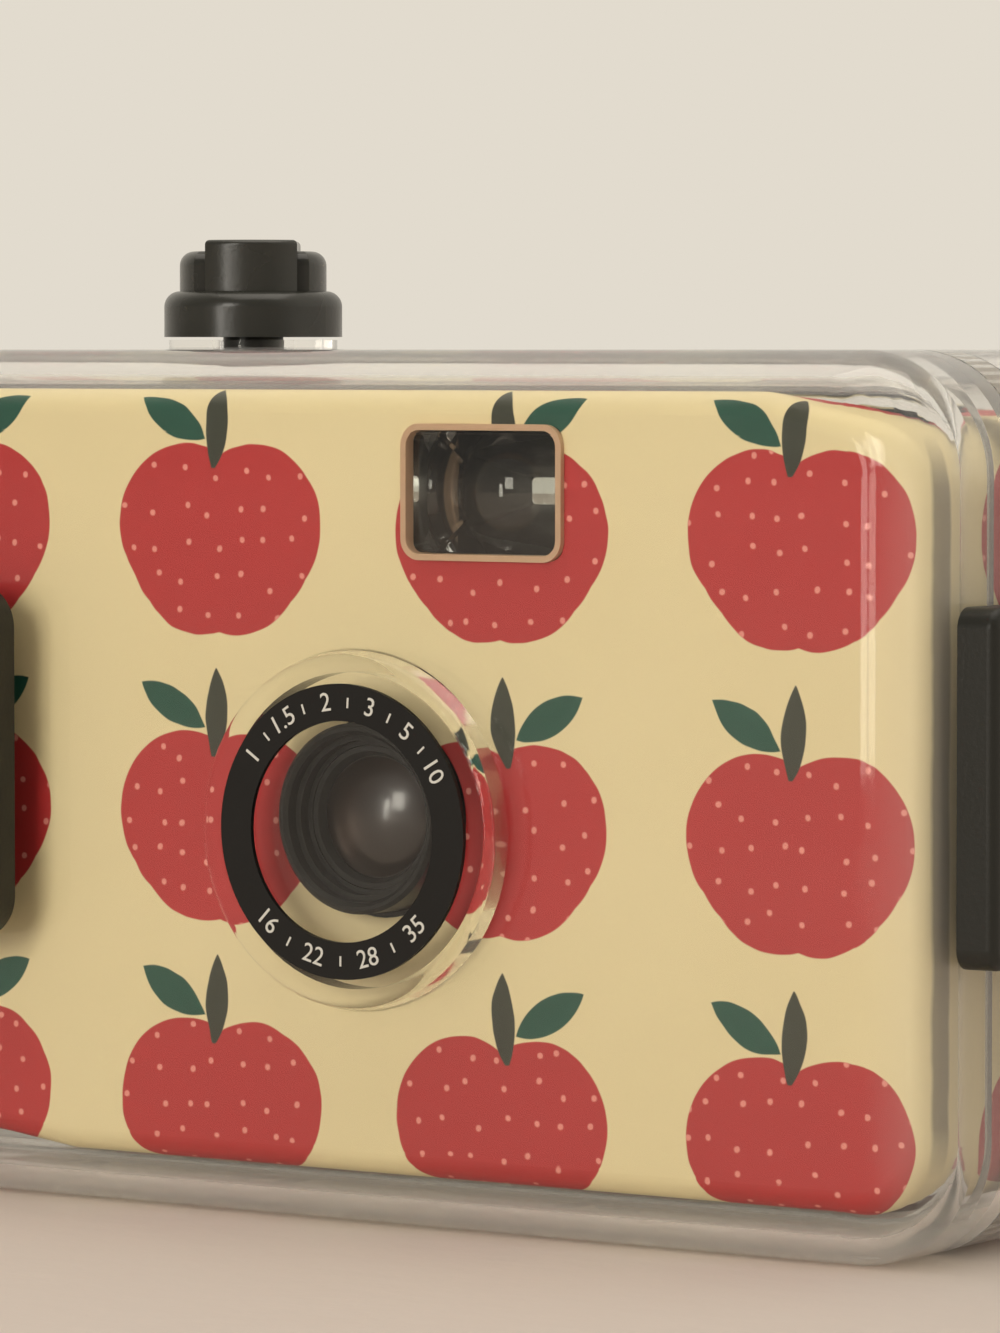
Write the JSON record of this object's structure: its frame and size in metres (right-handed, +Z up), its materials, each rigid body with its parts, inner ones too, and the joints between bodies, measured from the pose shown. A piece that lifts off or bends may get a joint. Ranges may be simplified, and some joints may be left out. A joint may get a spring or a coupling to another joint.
{
  "type": "waterproof film camera",
  "caption": "Small 35 mm film camera in a clear hinged waterproof case, with a round lens port, a winding knob, a front shutter lever and a side latch.",
  "frame": {"origin": "on the case's bottom face, at the middle of its width and depth", "axes": "+X to the right and +Z up as seen from the front, which faces -Y"},
  "size_m": [0.1203, 0.0441, 0.0781],
  "materials": {
    "clear_polycarbonate": "clear, polished",
    "black_plastic": "fine satin",
    "steel": "satin",
    "black_rubber": "dull",
    "grey_silicone": "soft, half dull",
    "printed_film": "printed film, half gloss",
    "body_plastic": "fine texture",
    "lens_glass": "polished",
    "silver_frame": "satin",
    "dial_plastic": "satin"
  },
  "bodies": {
    "root": {"rear_shell": "clear_polycarbonate", "gasket": "grey_silicone", "hinge_pin": "steel", "latch_pin": "steel", "camera_front_cover": "body_plastic", "print_wrap": "printed_film", "camera_back": "body_plastic", "film_window": "lens_glass", "lens_barrel": "black_plastic", "lens_retainer": "black_plastic", "front_lens": "lens_glass", "aperture_plate": "black_plastic", "rear_lens": "lens_glass", "chassis": "body_plastic", "pressure_plate": "black_plastic", "pressure_spring": "steel", "shutter_pin": "steel", "shutter_spring": "steel", "button_spring": "steel", "finder_bezel": "silver_frame", "finder_front_lens": "lens_glass", "finder_tunnel": "body_plastic", "eyepiece": "lens_glass", "counter_window": "lens_glass", "back_hinge_pin": "steel", "body_screws": "steel"},
    "cover": {"front_shell": "clear_polycarbonate", "port_ring": "black_plastic", "lever_spring": "steel"},
    "lever": {"shutter_lever": "black_plastic", "lever_screw": "steel", "lever_shaft": "black_plastic", "lever_seal": "black_rubber", "lever_arm": "steel"},
    "latch": {"latch": "black_plastic"},
    "knob": {"winding_knob": "black_plastic", "knob_shaft": "black_plastic", "knob_seal": "black_rubber", "knob_clip": "steel"},
    "advance": {"thumbwheel": "body_plastic", "sprocket": "body_plastic"},
    "take_up": {"take_up_spool": "body_plastic"},
    "counter": {"counter_dial": "dial_plastic"},
    "rewind": {"rewind_crank": "body_plastic", "rewind_fork": "body_plastic"},
    "button": {"shutter_button": "black_plastic"},
    "blade": {"shutter_blade": "black_plastic"}
  },
  "joints": [
    {"name": "cover_hinge", "type": "hinge", "parent": "root", "child": "cover", "pos_m": [-0.0579, -0.0055, 0.03455], "axis": [0, 0, -1], "range_deg": [0, 120]},
    {"name": "latch_pivot", "type": "hinge", "parent": "root", "child": "latch", "pos_m": [0.0576, 0.006, 0.03655], "axis": [0, 0, 1], "range_deg": [0, 95]},
    {"name": "lever_pivot", "type": "hinge", "parent": "cover", "child": "lever", "pos_m": [-0.0368, -0.02, 0.0451], "axis": [0, -1, 0], "range_deg": [0, 9], "stiffness_Nm_per_rad": 0.02, "springref_deg": -20.05},
    {"name": "knob_spin", "type": "hinge", "parent": "root", "child": "knob", "pos_m": [-0.0246, 0.005, 0.072], "axis": [0, 0, 1], "continuous": true},
    {"name": "rewind_spin", "type": "hinge", "parent": "root", "child": "rewind", "pos_m": [0.0366, 0.0001, 0.064], "axis": [0, 0, 1], "continuous": true},
    {"name": "advance_spin", "type": "hinge", "parent": "root", "child": "advance", "pos_m": [-0.0246, 0.005, 0.06], "axis": [0, 0, 1], "continuous": true},
    {"name": "take_up_spin", "type": "hinge", "parent": "root", "child": "take_up", "pos_m": [-0.0381, 0, 0.0325], "axis": [0, 0, 1], "continuous": true},
    {"name": "counter_spin", "type": "hinge", "parent": "root", "child": "counter", "pos_m": [-0.005, 0.0005, 0.0635], "axis": [0, 0, 1], "continuous": true},
    {"name": "button_slide", "type": "slide", "parent": "root", "child": "button", "axis": [0, 0, -1], "range_m": [0, 0.0015], "deforming": ["button_spring"]},
    {"name": "blade_pivot", "type": "hinge", "parent": "root", "child": "blade", "pos_m": [0.0127, -0.01065, 0.041], "axis": [0, -1, 0], "range_deg": [0, 35]}
  ],
  "couplings": [
    {"joint": "advance_spin", "follows": "knob_spin", "ratio": 1},
    {"joint": "take_up_spin", "follows": "knob_spin", "ratio": -0.8},
    {"joint": "counter_spin", "follows": "knob_spin", "ratio": 0.025},
    {"joint": "button_slide", "follows": "lever_pivot", "m_per_rad": 0.00954},
    {"joint": "blade_pivot", "follows": "lever_pivot", "ratio": 3.885}
  ]
}
